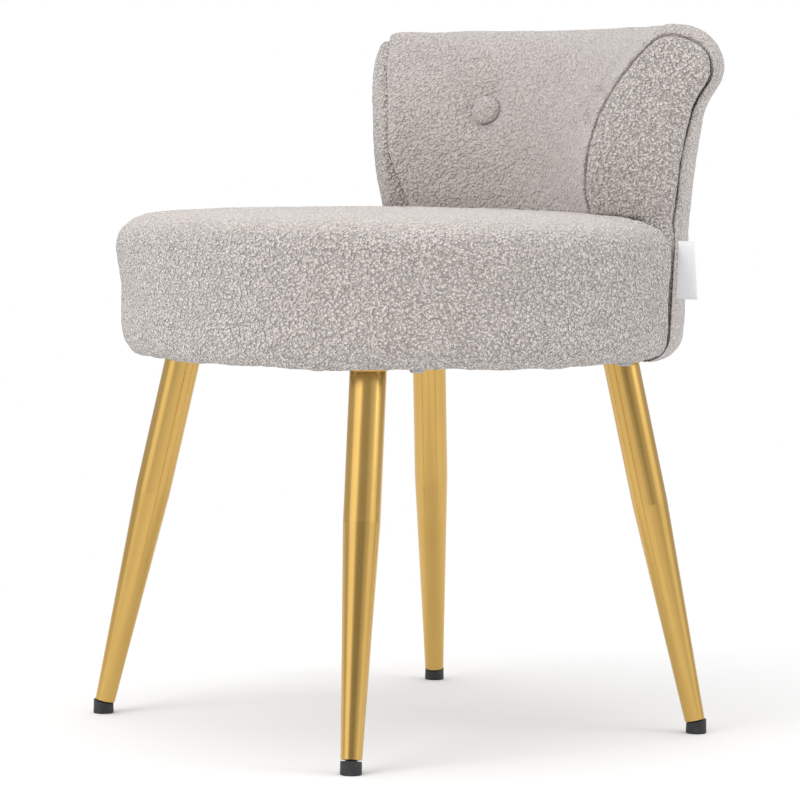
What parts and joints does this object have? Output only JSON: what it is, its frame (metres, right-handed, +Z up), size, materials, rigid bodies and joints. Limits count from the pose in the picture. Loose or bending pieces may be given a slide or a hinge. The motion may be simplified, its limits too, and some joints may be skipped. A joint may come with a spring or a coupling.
{
  "type": "stool",
  "caption": "Round upholstered stool with a low curved back rolled outward at the top, sewn tufts, and splayed tapered metal legs on tilting screw-in glides.",
  "frame": {"origin": "floor level, at the middle of the stool's outline in plan", "axes": "+Z up, the sitter faces -Y, the back stands on the +Y side, +X is to the right of a viewer who faces the seat's front"},
  "size_m": [0.454, 0.4739, 0.5625],
  "materials": {
    "pile_fabric": "curly looped pile, light warm grey",
    "foam": "open-cell foam",
    "dust_cloth": "thin non-woven cloth",
    "white_tape": "smooth woven tape, blank",
    "twine": "waxed twine",
    "plywood": "bare plywood",
    "gold_steel": "satin gold plating",
    "black_plastic": "moulded, matt",
    "black_steel": "blackened",
    "zinc_steel": "bright zinc plating"
  },
  "bodies": {
    "frame": {"back_bracket_left": "zinc_steel", "back_bracket_right": "zinc_steel", "back_cover": "pile_fabric", "back_end_panel_left": "pile_fabric", "back_end_panel_right": "pile_fabric", "back_inner_foam": "foam", "back_outer_foam": "foam", "back_panel": "plywood", "back_rib_1": "plywood", "back_rib_2": "plywood", "back_rib_3": "plywood", "back_rib_4": "plywood", "back_top_rail": "plywood", "bracket_screws": "zinc_steel", "dust_cover": "dust_cloth", "dust_cover_staples": "zinc_steel", "leg_bolts": "zinc_steel", "leg_insert_front_left": "black_plastic", "leg_insert_front_right": "black_plastic", "leg_insert_rear_left": "black_plastic", "leg_insert_rear_right": "black_plastic", "leg_plate_front_left": "gold_steel", "leg_plate_front_right": "gold_steel", "leg_plate_rear_left": "gold_steel", "leg_plate_rear_right": "gold_steel", "leg_tee_nuts": "zinc_steel", "leg_tube_front_left": "gold_steel", "leg_tube_front_right": "gold_steel", "leg_tube_rear_left": "gold_steel", "leg_tube_rear_right": "gold_steel", "leg_washers": "zinc_steel", "panel_screws": "zinc_steel", "rail_screws": "zinc_steel", "seat_board": "plywood", "seat_cover": "pile_fabric", "seat_foam": "foam", "side_tag": "white_tape", "tuft_button_left": "pile_fabric", "tuft_button_right": "pile_fabric", "tuft_tie_left": "twine", "tuft_tie_right": "twine"},
    "stud_front_left": {"glide_stud_front_left": "black_steel"},
    "pad_front_left": {"glide_pad_front_left": "black_plastic"},
    "stud_front_right": {"glide_stud_front_right": "black_steel"},
    "pad_front_right": {"glide_pad_front_right": "black_plastic"},
    "stud_rear_left": {"glide_stud_rear_left": "black_steel"},
    "pad_rear_left": {"glide_pad_rear_left": "black_plastic"},
    "stud_rear_right": {"glide_stud_rear_right": "black_steel"},
    "pad_rear_right": {"glide_pad_rear_right": "black_plastic"}
  },
  "joints": [
    {"name": "front_left_travel", "type": "slide", "parent": "frame", "child": "stud_front_left", "axis": [-0.1542, -0.1542, -0.9759], "range_m": [0, 0.008]},
    {"name": "front_left_tilt", "type": "hinge", "parent": "stud_front_left", "child": "pad_front_left", "pos_m": [-0.17005, -0.18005, 0.0049], "axis": [-0.7071, 0.7071, 0], "range_deg": [-5, 5]},
    {"name": "front_right_travel", "type": "slide", "parent": "frame", "child": "stud_front_right", "axis": [0.1542, -0.1542, -0.9759], "range_m": [0, 0.008]},
    {"name": "front_right_tilt", "type": "hinge", "parent": "stud_front_right", "child": "pad_front_right", "pos_m": [0.17005, -0.18005, 0.0049], "axis": [-0.7071, -0.7071, 0], "range_deg": [-5, 5]},
    {"name": "rear_left_travel", "type": "slide", "parent": "frame", "child": "stud_rear_left", "axis": [-0.1542, 0.1542, -0.9759], "range_m": [0, 0.008]},
    {"name": "rear_left_tilt", "type": "hinge", "parent": "stud_rear_left", "child": "pad_rear_left", "pos_m": [-0.17005, 0.16005, 0.0049], "axis": [0.7071, 0.7071, 0], "range_deg": [-5, 5]},
    {"name": "rear_right_travel", "type": "slide", "parent": "frame", "child": "stud_rear_right", "axis": [0.1542, 0.1542, -0.9759], "range_m": [0, 0.008]},
    {"name": "rear_right_tilt", "type": "hinge", "parent": "stud_rear_right", "child": "pad_rear_right", "pos_m": [0.17005, 0.16005, 0.0049], "axis": [0.7071, -0.7071, 0], "range_deg": [-5, 5]}
  ]
}
